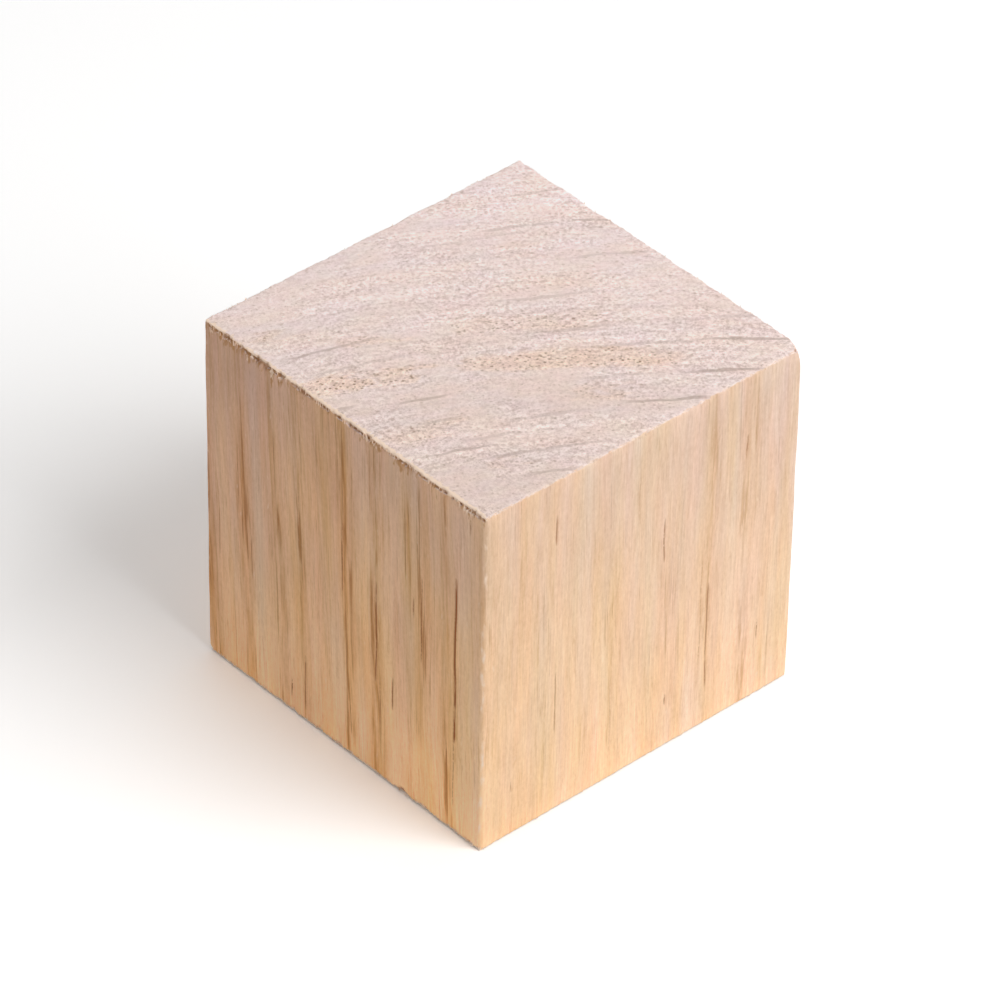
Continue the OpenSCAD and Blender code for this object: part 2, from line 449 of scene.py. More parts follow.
def eased_depth(points, rays):
    """How far along each ray the block's eased surface lies, without its tears and knocks."""
    half = (HIGH - LOW) / 2
    edges = (0, 1, LONG_EDGE_R), (0, 2, SAWN_EDGE_R), (1, 2, SAWN_EDGE_R)

    def outside(place, i, j, radius):
        qa, qb = (np.abs(place[:, k]) - (half[k] - radius) for k in (i, j))
        corner = np.hypot(np.maximum(qa, 0), np.maximum(qb, 0))
        return corner + np.minimum(np.maximum(qa, qb), 0) - radius

    travelled = np.zeros(len(points))
    for _ in range(RAY_STEPS):
        place = points + rays * travelled[:, None] - MIDDLE
        gap = np.maximum.reduce([outside(place, *edge) for edge in edges])
        travelled += np.maximum(gap, 0)
    return travelled


def surface_tree(mesh):
    """A mesh's surface in millimetres, for rays to be cast at."""
    corners = [v.co / MM for v in mesh.vertices]
    return BVHTree.FromPolygons(corners, [tuple(p.vertices) for p in mesh.polygons])


def solid_surface(points):
    """(place on the solid, outward direction, depth torn away) for each point of the sharp box."""
    tree = surface_tree(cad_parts[NODE].data)
    targets = np.clip(points, LOW + RAY_INSET, HIGH - RAY_INSET)
    rays = targets - points
    rays /= np.linalg.norm(rays, axis=1)[:, None]
    eased = eased_depth(points, rays)
    depth = eased.copy()
    for i, (point, ray) in enumerate(zip(points, rays)):
        hit = tree.ray_cast(Vector(point - ray * RAY_START), Vector(ray), RAY_REACH)[3]
        if hit is not None:
            depth[i] = hit - RAY_START
    return points + rays * depth[:, None], -rays, np.maximum(depth - eased, 0)


def noise_at(places):
    """Smooth noise between -1 and 1 at each row of places."""
    return np.array([noise.noise(Vector(p)) for p in places])


def relief(points):
    """(depth of the fine relief on faces and edges, how pale they are rubbed, with a painted
    highlight where the edges catch the light) at each point.
    """
    room = np.minimum(points - LOW, HIGH - points)
    to_long = np.maximum(room[:, 0], room[:, 1])
    to_sawn = np.maximum(room[:, 2], np.minimum(room[:, 0], room[:, 1]))
    depth = PLANED_DEPTH * (0.5 + 0.5 * noise_at(points * (0.11, 0.11, 0.05)))

    near = to_sawn < 3 * RAGGED_REACH
    fibres = points[near] * (2.8, 2.8, 0.35)
    rough = np.clip(0.45 + 0.9 * noise_at(fibres) + 0.35 * noise_at(fibres * 2.3 + 7.0), 0, 1.3)
    depth[near] += RAGGED_DEPTH * rough * np.exp(-((to_sawn[near] / RAGGED_REACH) ** 2))
    near = to_sawn < 3 * WAVY_REACH
    wavy = np.clip(0.4 + 1.2 * noise_at(points[near] * (0.5, 0.5, 0.1) + 21.0), 0, 1)
    wavy *= np.where(points[near, 2] > MIDDLE[2], 1.0, WAVY_AT_BASE)
    depth[near] += WAVY_DEPTH * wavy * np.exp(-((to_sawn[near] / WAVY_REACH) ** 2))

    near = to_long < 3 * WORN_REACH
    worn = np.clip(0.4 + 1.1 * noise_at(points[near] * (0.3, 0.3, 0.16) + 3.0), 0, 1)
    depth[near] += WORN_DEPTH * worn * np.exp(-((to_long[near] / WORN_REACH) ** 2))
    to_corner = np.linalg.norm(points - BLUNT_CORNER, axis=1)
    depth += BLUNT_DEPTH * np.exp(-((to_corner / BLUNT_REACH) ** 2))
    return depth, edge_wear_and_highlight(room, to_long, to_sawn, points)


def edge_wear_and_highlight(room, to_long, to_sawn, points):
    """How pale each point is rubbed and lit by a painted highlight on the eased edges: along the
    torn edges' lips, and less along the others.
    """
    lip = (points[:, 0] < 0) & (to_sawn > room[:, 0] - ON_FACE)
    on_end = room[:, 2] < ON_FACE
    reach = np.where(lip & on_end, LIP_REACH, RUBBED_AND_LIT_REACH)
    share = np.where(lip, np.interp(points[:, 1], LIP_PLACES, LIP_SHARES), RUBBED_AND_LIT_SHARE)
    # Pale edges: partly rubbed fibres, partly a painted highlight where the eased edges catch the
    # light
    rubbed_and_lit = share * np.exp(-((to_sawn / reach) ** 2))
    return np.maximum(rubbed_and_lit, LONG_RUBBED_AND_LIT_SHARE * np.exp(-((to_long / LONG_RUBBED_AND_LIT_REACH) ** 2)))


def plucked_fibres(points):
    """(depth of the groove broken out under each sawn edge's lip, how frayed), from 0 to 1."""
    room = np.minimum(points - LOW, HIGH - points)
    plucked, frayed = np.zeros(len(points)), np.zeros(len(points))
    # Each edge takes its noise from a place of its own
    end = np.where(points[:, 2] > MIDDLE[2], 0.0, 40.0)
    for axis, high in ((0, False), (0, True), (1, False), (1, True)):
        wall = (room[:, axis] < ON_FACE) & ((points[:, axis] > MIDDLE[axis]) == high)
        side = np.flatnonzero(wall & (room[:, 2] < 2 * FRAYED_BAND))
        across, below = points[side, 1 - axis], room[side, 2]
        which = end[side] + 9.0 * axis + 17.0 * high
        coarse = noise_at(np.c_[which, across * 0.45, np.zeros(len(side))])
        fine = noise_at(np.c_[which, across * 2.2, below * 0.5])
        uneven = noise_at(np.c_[which, across * 1.1, np.full(len(side), 5.0)])
        reach = PLUCKED_BAND * (0.75 + 0.5 * uneven)
        band = smooth_step(below, 0.02, 0.12) * (1 - smooth_step(below, reach, 2.2 * reach))
        torn_side = axis == 0 and not high
        share = np.interp(across, PLUCKED_PLACES, PLUCKED_SHARES) if torn_side else NICKED_SHARE
        broken = np.clip(share + 0.9 * coarse + fine, 0, 1) * band
        plucked[side] = broken if torn_side else NICKED_DEPTH * broken
        if torn_side:
            uneven = noise_at(np.c_[which, across * 1.4, np.full(len(side), 8.0)])
            ragged = FRAYED_BAND * (0.65 + 0.9 * uneven)
            share = np.interp(across, FRAYED_PLACES, FRAYED_SHARES) + 0.5 * coarse
            ragged_band = 1 - smooth_step(below, 0.35 * ragged, ragged + 0.2)
            at_end = np.where(end[side] > 0, FRAYED_AT_BASE, 1.0)
            frayed[side] = np.clip(share, 0, 1) * ragged_band * at_end
            plucked[side] *= 0.4 + 0.6 * at_end
    return plucked, frayed


def canal_depth(points, all_canals):
    """How deep a resin canal lies open at each point, from 0 to 1."""
    canal, z = np.zeros(len(points)), points[:, 2]
    for axis, high, across, bottom, top, half, fill in all_canals:
        on_face = np.abs(points[:, axis] - (HIGH if high else LOW)[axis]) < ON_FACE
        beside = np.abs(points[:, 1 - axis] - across) < 1.0
        for i in np.flatnonzero(on_face & beside & (z > bottom) & (z < top)):
            off = abs(points[i, 1 - axis] - canal_middle(across, z[i])) / (1.35 * half)
            ends = min(z[i] - bottom, top - z[i]) / CANAL_TAPER
            canal[i] = max(canal[i], fill * max(0.0, 1 - off * off) ** 1.5 * min(1.0, ends) ** 0.5)
    return canal


def bake_layout(mesh, points, triangles, faces):
    """A UV map of six tiles, three by two, one for each face, the grain along the short side."""
    layer = mesh.uv_layers.new(name="OFBake")
    corner_uv = np.empty((len(triangles) * 3, 2))
    for face in range(6):
        axis = face // 2
        across = [0, 1] if axis == 2 else [2, 1 - axis]
        part = np.flatnonzero(faces == face)
        spots = points[triangles[part].ravel()]
        share = (spots[:, across] - LOW[across]) / (HIGH - LOW)[across]
        row, column = divmod(face, 3)
        uv = (share * (1 - 2 * TILE_MARGIN) + TILE_MARGIN + (column, row)) / (3, 2)
        corner_uv[(part[:, None] * 3 + np.arange(3)).ravel()] = uv
    layer.data.foreach_set("uv", corner_uv.ravel())


def cube_mesh():
    """The dressed cube: one closed mesh on the solid's surface."""
    all_canals = canals()
    points, triangles, faces = sharp_box(all_canals)
    place, outward, torn = solid_surface(points)
    depth, wear_and_highlight = relief(points)
    canal = canal_depth(points, all_canals)
    plucked, frayed = plucked_fibres(points)
    depth += CANAL_DEPTH * canal + PLUCKED_DEPTH * plucked
    place = place - outward * depth[:, None]
    # The plucked groove joins the torn mask, which the material darkens: partly torn fibres, partly
    # painted shade
    torn = np.maximum(0.75 * smooth_step(torn, 0.03, 0.3), plucked)
    mesh = bpy.data.meshes.new("pine_cube")
    mesh.from_pydata((place * MM).tolist(), [], triangles.tolist())
    mesh.validate()
    mesh.shade_smooth()
    # The rubbed-edge values also hold a painted highlight on the eased edges
    for name, values in (("canal", canal), ("wear_and_highlight", wear_and_highlight), ("torn", torn), ("frayed", frayed)):
        layer = mesh.attributes.new(name, "FLOAT", "POINT")
        layer.data.foreach_set("value", values.astype(np.float32))
    bake_layout(mesh, points, triangles, faces)
    return mesh


def splinter(root, tip, along, outward, width, bow):
    """(corners, faces) of one tapered splinter, its root sunk and its tip bowed outward."""
    corners, faces = [], []
    for share in SPLINTER_RINGS:
        middle = root + (tip - root) * share + outward * bow * share**2
        across = along * width * 0.5 * (1 - 0.7 * share**1.6)
        deep = outward * SPLINTER_HALF * (1 - 0.5 * share)
        corners += [middle - across - deep, middle + across - deep]
        corners += [middle + across + deep, middle - across + deep]
    for ring in range(len(SPLINTER_RINGS) - 1):
        for side in range(4):
            a, b = 4 * ring + side, 4 * ring + (side + 1) % 4
            faces.append((a, b, b + 4, a + 4))
    end = len(corners)
    return corners, faces + [(3, 2, 1, 0), (end - 4, end - 3, end - 2, end - 1)]


def splinter_places(dice):
    """(axis, high, at the top, place along the edge, length, width) of each splinter to try."""
    for axis, high, top, count, longest in SPLINTER_ROWS:
        for _ in range(count):
            along = dice.uniform(-SPLINTER_REACH, SPLINTER_REACH)
            thick = 0.5 + 0.5 * noise.noise(Vector((along * 0.5, axis * 9.0 + high * 5, top * 7.0)))
            if dice.random() < 0.25 + thick:
                length = longest * dice.uniform(0.3, 1.0) * (0.5 + thick)
                yield axis, high, top, along, length, dice.uniform(*SPLINTER_WIDTHS)
    for _ in range(TUFT_COUNT):
        place = LOW[1] + TUFT_PLACE + dice.gauss(0, TUFT_SPREAD)
        yield 0, False, True, place, dice.uniform(*TUFT_LENGTHS), dice.uniform(*TUFT_WIDTHS)


def splinter_mesh(cube):
    """All the splinters, standing on the cube's dressed surface."""
    tree = surface_tree(cube)
    dice = random.Random(SPLINTER_SEED)
    corners, faces = [], []
    for axis, high, top, place, length, width in splinter_places(dice):
        outward, along, start = Vector(), Vector(), Vector()
        outward[axis] = 1.0 if high else -1.0
        along[1 - axis] = 1.0
        start[axis] = (HIGH if high else LOW)[axis] + outward[axis] * RAY_START
        start[1 - axis] = place
        start.z = HIGH[2] - length if top else LOW[2] + length
        lean, bow = dice.gauss(0, SPLINTER_LEAN), dice.uniform(0.0, SPLINTER_BOW)
        hit, _, _, reach = tree.ray_cast(start, -outward, RAY_REACH)
        if hit is None or reach - RAY_START > DEEPEST_ROOT:
            continue
        tip = hit + along * lean
        tip.z = HIGH[2] - dice.uniform(*TOP_GAPS) if top else LOW[2] + dice.uniform(*BASE_GAPS)
        new, parts = splinter(hit - outward * ROOT_SINK, tip, along, outward, width, bow)
        faces += [tuple(i + len(corners) for i in part) for part in parts]
        corners += new
    mesh = bpy.data.meshes.new("torn_fibres")
    mesh.from_pydata([corner * MM for corner in corners], [], faces)
    mesh.validate()
    return mesh


class Shader:
    """The nodes of a material or world. Each call adds one and returns its output socket."""

    def __init__(self, owner, surface="Principled BSDF"):
        owner.use_nodes = True
        self.owner = owner
        self.nodes = owner.node_tree.nodes
        self.links = owner.node_tree.links
        self.surface = self.nodes[surface]

    def feed(self, socket, value):
        """Links a socket to the output that value is, or sets it to a constant."""
        if isinstance(value, bpy.types.NodeSocket):
            self.links.new(value, socket)
        else:
            socket.default_value = value

    def add(self, kind, inputs, output=0, **settings):
        """A node of any kind, its inputs given by name or number."""
        node = self.nodes.new("ShaderNode" + kind)
        for name, value in settings.items():
            setattr(node, name, value)
        for key, value in inputs.items():
            self.feed(node.inputs[key], value)
        return node.outputs[output]

    def math(self, operation, *values):
        return self.add("Math", dict(enumerate(values)), operation=operation)

    def times(self, first, second):
        return self.math("MULTIPLY", first, second)

    def vector(self, operation, *values, output=0):
        return self.add("VectorMath", dict(enumerate(values)), output, operation=operation)

    def noise(self, place, scale, detail=2.0, roughness=0.5, shift=0.0):
        """Smooth noise about 0, seldom beyond -0.35 and 0.35."""
        place = self.vector("MULTIPLY_ADD", place, scale, (shift, shift, shift))
        inputs = {"Vector": place, "Scale": 1.0, "Detail": detail, "Roughness": roughness}
        return self.math("SUBTRACT", self.add("TexNoise", inputs), 0.5)

    def ramp(self, value, low, high, out_low=0.0, out_high=1.0):
        """Goes smoothly from out_low to out_high while value goes from low to high."""
        inputs = {"Value": value, "From Min": low, "From Max": high}
        inputs |= {"To Min": out_low, "To Max": out_high}
        return self.add("MapRange", inputs, interpolation_type="SMOOTHSTEP")

    def curve(self, value, points, handles="AUTO_CLAMPED"):
        """A curve through points, from 0 to 1 both ways."""
        output = self.add("FloatCurve", {"Value": value})
        mapping = output.node.mapping
        line = mapping.curves[0]
        for place in points[1:-1]:
            line.points.new(*place)
        line.points[0].location = points[0]
        line.points[-1].location = points[-1]
        for point in line.points:
            point.handle_type = handles
        mapping.update()
        return output

    def weighted(self, start, *terms):
        """start plus each (value, weight) term."""
        whole = start
        for value, weight in terms:
            whole = self.math("MULTIPLY_ADD", value, weight, whole)
        return whole

    def mix(self, share, first, second):
        """first where share is 0, second where it is 1."""
        inputs = {"Factor": share, 6: first, 7: second}
        return self.add("Mix", inputs, 2, data_type="RGBA", clamp_factor=True)

    def tinted(self, colour, factors):
        """A colour times factors for its red, green and blue."""
        return self.vector("MULTIPLY", colour, factors)

    def toned(self, colour, value, weights):
        """A colour times 1 + value, with its own weight for red, green and blue."""
        values = self.add("CombineXYZ", {0: value, 1: value, 2: value})
        return self.tinted(colour, self.vector("MULTIPLY_ADD", values, weights, (1, 1, 1)))

    def drifted(self, colour, place, drift):
        """A colour whose red, green and blue change steadily with the place."""
        factors = [
            self.math("ADD", self.vector("DOT_PRODUCT", place, slope, output="Value"), start)
            for slope, start in drift
        ]
        return self.tinted(colour, self.add("CombineXYZ", dict(enumerate(factors))))

    def attribute(self, name):
        """A value that the mesh holds at its points."""
        return self.add("Attribute", {}, "Fac", attribute_name=name)

    def finish(self, colour, roughness, bump, unit):
        """The material of a wood surface, with bump times unit, in metres, as fine relief."""
        self.feed(self.surface.inputs["Base Color"], colour)
        self.feed(self.surface.inputs["Roughness"], roughness)
        self.surface.inputs["Specular IOR Level"].default_value = SPECULAR
        normal = self.add("Bump", {"Height": bump, "Distance": unit, "Strength": 1.0})
        self.feed(self.surface.inputs["Normal"], normal)
        return self.owner


def ring_nodes(s, place, height, fibre):
    """(radius, arc along the ring, share of late wood, 1 to the left and back) round the pith."""
    upright = s.add("CombineXYZ", {0: height, 1: height})
    start = (SIZE_Z * PITH_LEAN_X - PITH_X, SIZE_Z * PITH_LEAN_Y - PITH_Y, 0)
    lean = s.vector("MULTIPLY_ADD", upright, (-PITH_LEAN_X, -PITH_LEAN_Y, 0), start)
    offset = s.vector("MULTIPLY_ADD", place, (1, 1, 0), lean)
    parts = s.add("SeparateXYZ", {0: offset}).node.outputs
    wander = s.noise(place, (0.06, 0.06, 0.02), detail=1.0)
    radius = s.weighted(s.vector("LENGTH", offset, output="Value"), (wander, 1.6))
    angle = s.math("ARCTAN2", parts[1], parts[0])
    arc = s.times(angle, ARC_PER_RADIAN)
    turned = s.weighted(angle, (height, CORNER_TURN))
    left = s.ramp(turned, *(CORNER_ANGLE + step for step in CORNER_BLEND))
    uneven = s.noise(fibre, (1.5, 1.5, 0.03), detail=2.0, roughness=0.6, shift=13.0)
    uneven = s.weighted(radius, (uneven, 1.7), (left, -WIDER_LEFT))
    return radius, arc, late_wood(s, uneven, height, fibre, left), left


def late_wood(s, radius, height, fibre, left):
    """Share of late wood, by where in its growth ring the radius lies."""
    first, last = RING_RADII[0], RING_RADII[-1]
    share = s.math("DIVIDE", s.math("SUBTRACT", radius, first), last - first)
    starts = [(r - first) / (last - first) for r in RING_RADII]
    count = len(RING_RADII) - 1
    ring = s.curve(share, [(start, i / count) for i, start in enumerate(starts)], "VECTOR")
    late = s.curve(s.math("FRACT", s.times(ring, count)), RING_PROFILE)
    front_dark = s.curve(share, list(zip(starts, LATE_FRONT)))
    left_dark = s.curve(share, list(zip(starts, LATE_LEFT)))
    dark = s.math("MULTIPLY_ADD", left, s.math("SUBTRACT", left_dark, front_dark), front_dark)
    fading = s.noise(fibre, (0.7, 0.7, 0.045), detail=1.0, shift=29.0)
    dark = s.times(dark, s.ramp(fading, -0.18, 0.12, 0.35, 1.15))
    dark = s.times(dark, s.ramp(height, 50.0, 24.0, 0.7, 1.05))
    return s.times(late, dark)


def fibre_place(s, place, height):
    """Place with the fibres straightened: they lean a little and wander."""
    wander = s.vector("MULTIPLY", place, (0.1, 0.1, 0.028))
    wander = s.add("TexNoise", {"Vector": wander, "Scale": 1.0, "Detail": 1.0}, "Color")
    wander = s.vector("MULTIPLY_ADD", wander, (1.4, 1.4, 0), place)
    upright = s.add("CombineXYZ", {0: height, 1: height})
    return s.vector("MULTIPLY_ADD", upright, (0.0, -0.036, 0), wander)


def long_grain(s, place, height, fibre, late, left):
    """(colour, height in mm) of the wood cut along its fibres."""
    fine = s.noise(fibre, (3.6, 3.6, 0.14), detail=3.0, roughness=0.65)
    medium = s.noise(fibre, (1.2, 1.2, 0.05), detail=3.0, roughness=0.6, shift=9.0)
    wide = s.noise(fibre, (0.3, 0.3, 0.025), detail=2.0, shift=17.0)
    strands = s.noise(fibre, (2.2, 2.2, 0.16), detail=2.0, roughness=0.6, shift=83.0)
    grit = s.noise(place, (2.6, 2.6, 1.2), detail=3.0, roughness=0.7, shift=31.0)
    contrast = s.weighted(0.38, (left, 0.63))

    ragged = s.times(late, s.weighted(1.0, (strands, 3.2), (medium, 1.4)))
    dark = s.weighted(s.times(ragged, 0.56), (medium, 1.0), (wide, 1.4))
    colour = s.mix(s.math("MULTIPLY_ADD", dark, contrast, 0.23), EARLY_WOOD, LATE_WOOD)

    # Thin brown lines, crowded in the late wood, and shorter and finer pores
    line = s.noise(fibre, (1.9, 1.9, 0.06), detail=2.0, shift=5.0)
    line = s.ramp(s.weighted(line, (ragged, 0.2), (wide, 0.25)), 0.13, 0.33)
    pore = s.noise(fibre, (4.5, 4.5, 0.3), detail=1.0, shift=77.0)
    pore = s.ramp(s.weighted(pore, (medium, 0.3)), 0.12, 0.25)
    marks = s.times(s.weighted(0.0, (line, 0.75), (pore, 0.22)), contrast)
    colour = s.mix(marks, colour, BROWN_STREAK)
    colour = s.mix(hairlines(s, fibre, strands, left), colour, LATE_WOOD)

    colour = wandering_hue(s, colour, place, fibre, wide, left)
    # Painted bounce light: the long grain lighter towards the base, more on the left and back faces
    painted_floor_bounce = s.times(s.ramp(height, 22.0, -2.0), s.weighted(0.03, (left, 0.15)))
    colour = s.toned(colour, painted_floor_bounce, (0.85, 1.0, 1.2))
    texture = s.weighted(0.0, (fine, 0.5), (medium, 0.3), (grit, 0.35))
    colour = s.toned(colour, texture, (0.76, 1.05, 1.42))
    bump = s.weighted(0.0, (fine, 0.06), (late, 0.012), (line, -0.03), (grit, 0.06))
    return colour, bump


def hairlines(s, fibre, strands, left):
    """Dark hairlines between the fibres, which come and go."""
    ridges = s.noise(fibre, (0.95, 0.95, 0.03), detail=3.0, roughness=0.65, shift=61.0)
    hair = s.ramp(s.math("ABSOLUTE", ridges), 0.035, 0.0)
    shown = s.noise(fibre, (0.5, 0.5, 0.08), detail=1.0, shift=67.0)
    shown = s.ramp(s.weighted(shown, (strands, 0.4)), -0.12, 0.16)
    return s.times(s.times(hair, shown), s.weighted(0.24, (left, 0.12)))


def wandering_hue(s, colour, place, fibre, wide, left):
    """The wood's hue from patch to patch and streak to streak, with painted light: a steady drift
    through the block, brighter and warmer towards the base, and on the left and back faces a
    lighter, warmer tone towards the base at the front.
    """
    # Painted light: the long grain brighter and warmer towards the base, drifting steadily through
    # the block
    colour = s.drifted(colour, place, COLOUR_DRIFT)
    patch = s.noise(place, (0.09, 0.09, 0.05), shift=143.0)
    patch = s.weighted(0.5, (wide, 1.2), (patch, 1.5))
    colour = s.tinted(colour, s.mix(patch, *PATCH_HUES))
    blush = s.noise(fibre, (0.5, 0.5, 0.03), detail=1.0, shift=53.0)
    colour = s.tinted(colour, s.mix(s.weighted(0.5, (blush, 3.2)), *STREAK_HUES))
    warmth = s.noise(fibre, (0.4, 0.4, 0.022), detail=3.0, shift=37.0)
    warmth = s.times(warmth, s.weighted(1.0, (left, -0.7)))
    colour = s.toned(colour, warmth, (0.05, 0.17, 0.42))
    pink = s.noise(fibre, (0.36, 0.36, 0.035), detail=2.0, shift=97.0)
    colour = s.toned(colour, pink, PINKER)
    # Left and back faces: partly their own deeper tone, partly painted light, lighter and warmer
    # towards the base at the front
    deep = s.vector("DOT_PRODUCT", place, (0, -0.009, -0.011), output="Value")
    deep = s.math("ADD", s.weighted(deep, (patch, 0.8)), 0.375)
    return s.tinted(colour, s.mix(left, (1, 1, 1, 1), s.mix(deep, *LEFT_HUES)))


def along_ring(s, polar, radius, start, stop, half):
    """1 in the middle of a long stretch of a ring, and 0 outside it."""
    to_arc = math.radians(1) * ARC_PER_RADIAN
    scale = (1 / half, 2 / ((stop - start) * to_arc), 0)
    shift = (-radius * scale[0], -(start + stop) / 2 * to_arc * scale[1], 0)
    off = s.vector("MULTIPLY_ADD", polar, scale, shift)
    return s.ramp(s.vector("LENGTH", s.vector("MULTIPLY", off, off), output="Value"), 1.0, 0.1)


def ring_lines(s, polar, arc, speckled):
    """Thin dark lines along the rings."""
    wobble = s.noise(polar, (0.9, 0.35, 0.1), detail=2.0, shift=5.0)
    slant = s.weighted(0.0, (wobble, 0.9), (arc, END_LINE_SLANT))
    wavy = s.vector("ADD", polar, s.add("CombineXYZ", {0: slant}))
    lines = 0.0
    for middle, start, stop, strength in END_LINES:
        middle += END_LINE_SLANT * ARC_PER_RADIAN * math.radians((start + stop) / 2)
        line = along_ring(s, wavy, middle, start, stop, END_LINE_HALF)
        lines = s.weighted(lines, (line, strength))
    return s.times(lines, s.times(speckled, 0.72))


def dotted(s, colour, polar, speckle, dashes):
    """(colour with small brown dots, how crowded they are), which is most in a few rings."""
    thinning = s.noise(polar, (0.5, 0.2, 0.1), detail=2.0, shift=8.0)
    spread = {0: s.times(dashes, 2.4), 1: s.times(thinning, 16.0)}
    dashed = s.vector("ADD", polar, s.add("CombineXYZ", spread))
    crowd = 0.0
    for middle, start, stop, half, strength in END_DOTS:
        crowd = s.weighted(crowd, (along_ring(s, dashed, middle, start, stop, half), strength))
    crowd = s.times(crowd, s.ramp(thinning, -0.14, 0.1, 0.75, 1.1))
    cells = s.vector("MULTIPLY", polar, (2.2, 1.6, 0.1))
    cell = s.add("TexVoronoi", {"Vector": cells, "Scale": 1.0}, "Distance")
    dots = s.ramp(s.weighted(cell, (speckle, 0.5)), 0.4, 0.18)
    colour = s.mix(s.times(crowd, 0.42), colour, END_ORANGE)
    few = s.ramp(cell.node.outputs["Color"], 0.5, 0.7, 0.03, 0.3)
    dots = s.times(dots, s.weighted(few, (crowd, 0.7)))
    return s.mix(dots, colour, END_BROWN), crowd


def end_grain(s, place, radius, arc, late, left):
    """(colour, height in mm) of the wood sawn across its fibres."""
    level = s.add("SeparateXYZ", {0: place}, 2)
    polar = s.add("CombineXYZ", {0: radius, 1: arc, 2: level})
    speckle = s.noise(place, (1.9, 1.9, 0.4), detail=4.0, roughness=0.8)
    dashes = s.noise(polar, (1.7, 0.5, 0.1), detail=2.0, roughness=0.6)
    streaks = s.noise(polar, (1.0, 0.055, 0.05), detail=4.0, roughness=0.65, shift=11.0)
    bands = s.noise(polar, (0.22, 0.02, 0.05), detail=2.0, shift=19.0)
    patches = s.noise(place, (0.13, 0.13, 0.1), detail=2.0, shift=19.0)
    greyed = s.weighted(s.times(late, 0.3), (bands, 1.3), (patches, 0.9), (streaks, 0.9))
    colour = s.mix(greyed, END_GRAIN, END_LATE)
    speckled = s.ramp(s.weighted(speckle, (dashes, 1.0)), -0.22, 0.08, 0.4, 1.0)
    colour = s.mix(ring_lines(s, polar, arc, speckled), colour, END_LINE)
    colour, crowd = dotted(s, colour, polar, speckle, dashes)

    # The hue wanders between pink and gold
    hue = s.noise(polar, (0.3, 0.1, 0.1), detail=2.0, shift=47.0)
    hue = s.ramp(s.weighted(hue, (patches, 0.6)), -0.25, 0.25)
    colour = s.tinted(colour, s.mix(hue, *END_HUES))
    pink = s.noise(place, (0.33, 0.33, 0.1), detail=2.0, shift=97.0)
    colour = s.toned(colour, s.times(pink, 0.65), PINKER)

    # The saw's rough granules, calmer in some patches
    outer = s.times(s.ramp(radius, 152.0, 163.0), left)
    calm = s.weighted(patches, (bands, 0.8), (crowd, -0.2), (outer, 0.12))
    calm = s.ramp(calm, -0.13, 0.17, 1.3, 0.6)
    granules = s.ramp(s.weighted(speckle, (dashes, 0.2)), -0.14, 0.14, -0.12, 0.12)
    texture = s.weighted(granules, (speckle, 0.45), (dashes, 0.3), (streaks, 0.45))
    texture = s.weighted(s.times(texture, calm), (patches, 0.12))
    colour = s.toned(colour, texture, (0.82, 1.0, 1.08))
    colour = s.drifted(colour, place, END_DRIFT)
    bump = s.weighted(0.0, (speckle, 0.18), (dashes, 0.05), (streaks, 0.05))
    return colour, bump


def edge_fibres(s, colour, bump, place, patchy, torn):
    """(colour, height in mm) of the wood with its rubbed, torn and frayed edges, a painted
    highlight on their rims and painted shade in the torn gaps.
    """
    # Pale rims: partly rubbed fibres, partly a painted highlight along the eased edges
    rim_highlight = s.ramp(s.weighted(s.attribute("wear_and_highlight"), (patchy, 2.0)), 0.3, 0.9, 0.0, 0.97)
    colour = s.mix(rim_highlight, colour, PALE_FIBRE)
    # Torn gaps under the edges: partly dark torn fibres, partly painted shade where the lip keeps
    # the light out
    tufts = s.noise(place, (3.0, 3.0, 0.5), detail=2.0, shift=57.0)
    gap = s.ramp(s.weighted(torn, (tufts, 0.9)), 0.15, 1.0, 0.0, 0.85)
    colour = s.mix(gap, colour, TORN_FIBRE_AND_SHADE)
    frayed = s.attribute("frayed")
    flecks = s.noise(place, (2.3, 2.3, 0.9), detail=2.0, roughness=0.6, shift=23.0)
    broken = s.ramp(s.weighted(frayed, (flecks, 3.2)), 0.25, 1.15, 0.0, 0.9)
    broken = s.times(s.ramp(frayed, 0.0, 0.25), broken)
    colour = s.mix(broken, colour, FRAYED_BROWN)
    pale = s.ramp(s.weighted(frayed, (flecks, -3.4)), 0.85, 1.3, 0.0, 0.85)
    colour = s.mix(pale, colour, PALE_FIBRE)
    return colour, s.weighted(bump, (s.times(tufts, torn), 0.25), (s.times(flecks, frayed), 0.3))


